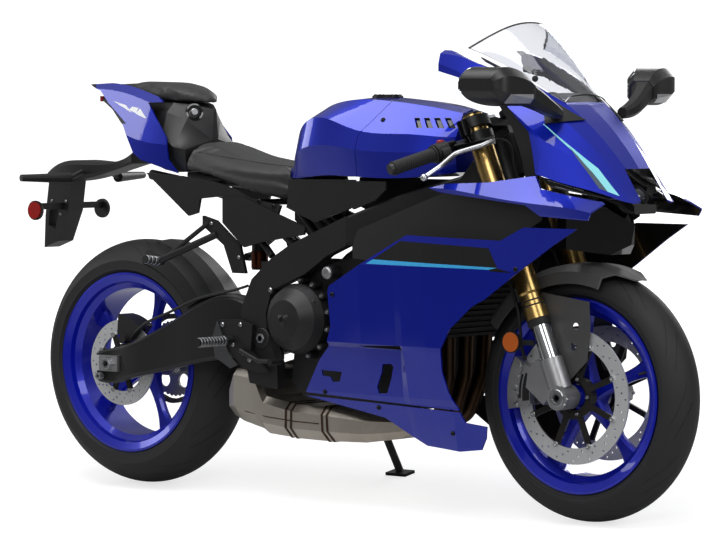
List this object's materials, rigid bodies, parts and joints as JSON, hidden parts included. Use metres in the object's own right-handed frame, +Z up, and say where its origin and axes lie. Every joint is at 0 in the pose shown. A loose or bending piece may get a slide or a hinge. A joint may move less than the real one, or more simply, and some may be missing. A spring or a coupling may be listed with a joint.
{
  "type": "sport bike",
  "caption": "Full-fairing sport motorcycle leaning on its side stand, with steering, turning wheels, folding stand and hinged fuel lid.",
  "frame": {"origin": "centre of the bounding box on the ground, with the bike leaning to its left on its side stand", "axes": "+X forward, +Y to the rider's left, +Z up"},
  "size_m": [2.0689, 0.7566, 1.1655],
  "materials": {
    "blue_paint": "gloss",
    "blue_wheel": "gloss",
    "black_plastic": "satin",
    "black_gloss": "gloss",
    "black_alloy": "matte",
    "engine_black": "satin",
    "grey_cast": "satin",
    "gold_alloy": "satin",
    "chromed_tube": "polished",
    "disc_steel": "satin",
    "exhaust_steel": "satin",
    "header_steel": "satin",
    "steel": "satin",
    "tyre_rubber": "matte",
    "grip_rubber": "matte",
    "seat_vinyl": "matte",
    "clear_screen": "gloss",
    "lens_red": "gloss",
    "lens_amber": "gloss"
  },
  "bodies": {
    "chassis": {"axle_blocks": "grey_cast", "chain": "steel", "engine": "engine_black", "engine_covers": "engine_black", "exhaust_headers": "header_steel", "fairing_left": "blue_paint", "fairing_right": "blue_paint", "frame": "black_alloy", "fuel_tank": "blue_paint", "headlamps": "black_gloss", "inner_panels": "black_plastic", "instrument": "black_gloss", "lower_fairings": "blue_paint", "mirrors": "black_plastic", "muffler": "exhaust_steel", "nose_cowl": "blue_paint", "nose_duct": "black_gloss", "passenger_footrests": "black_alloy", "pillion_seat": "seat_vinyl", "plate_bracket": "black_plastic", "radiator": "black_alloy", "rear_axle": "steel", "rear_caliper": "engine_black", "rear_hugger": "black_plastic", "rear_indicators": "black_plastic", "rear_lamps": "lens_red", "rear_shock": "steel", "rider_footrests": "black_alloy", "rider_seat": "seat_vinyl", "side_covers": "black_plastic", "subframe": "black_alloy", "swingarm": "black_alloy", "tail_centre": "black_plastic", "tail_cowl": "blue_paint", "tank_cover": "blue_paint", "windscreen": "clear_screen", "wing_panels": "blue_paint"},
    "steering": {"bottom_yoke": "black_alloy", "brake_hoses": "grip_rubber", "clip_ons": "black_alloy", "fork_feet": "grey_cast", "fork_inner_tubes": "chromed_tube", "fork_outer_tubes": "gold_alloy", "front_axle": "steel", "front_calipers": "grey_cast", "front_fender": "black_plastic", "front_reflectors": "lens_amber", "grips": "grip_rubber", "levers": "black_alloy", "switch_pods": "black_plastic", "top_yoke": "black_alloy"},
    "front_wheel": {"front_discs": "disc_steel", "front_rim": "blue_wheel", "front_tyre": "tyre_rubber"},
    "rear_wheel": {"rear_disc": "disc_steel", "rear_rim": "blue_wheel", "rear_sprocket": "steel", "rear_tyre": "tyre_rubber"},
    "stand": {"side_stand": "black_alloy"},
    "fuel_lid": {"fuel_cap": "black_alloy"}
  },
  "joints": [
    {"name": "steering_turn", "type": "hinge", "parent": "chassis", "child": "steering", "pos_m": [0.48618, -0.00971, 0.812], "axis": [-0.3843, 0.1603, 0.9092], "range_deg": [-26, 26]},
    {"name": "front_wheel_spin", "type": "hinge", "parent": "steering", "child": "front_wheel", "pos_m": [0.735, -0.10063, 0.29637], "axis": [0, 0.9848, -0.1736], "continuous": true},
    {"name": "rear_wheel_spin", "type": "hinge", "parent": "chassis", "child": "rear_wheel", "pos_m": [-0.685, -0.09791, 0.31178], "axis": [0, 0.9848, -0.1736], "continuous": true},
    {"name": "side_stand_fold", "type": "hinge", "parent": "chassis", "child": "stand", "pos_m": [-0.113, 0.06859, 0.26558], "axis": [0, 0.9848, -0.1736], "range_deg": [0, 88]},
    {"name": "fuel_lid_open", "type": "hinge", "parent": "chassis", "child": "fuel_lid", "pos_m": [0.154, 0.02058, 0.98382], "axis": [0, 0.9848, -0.1736], "range_deg": [0, 90]}
  ]
}
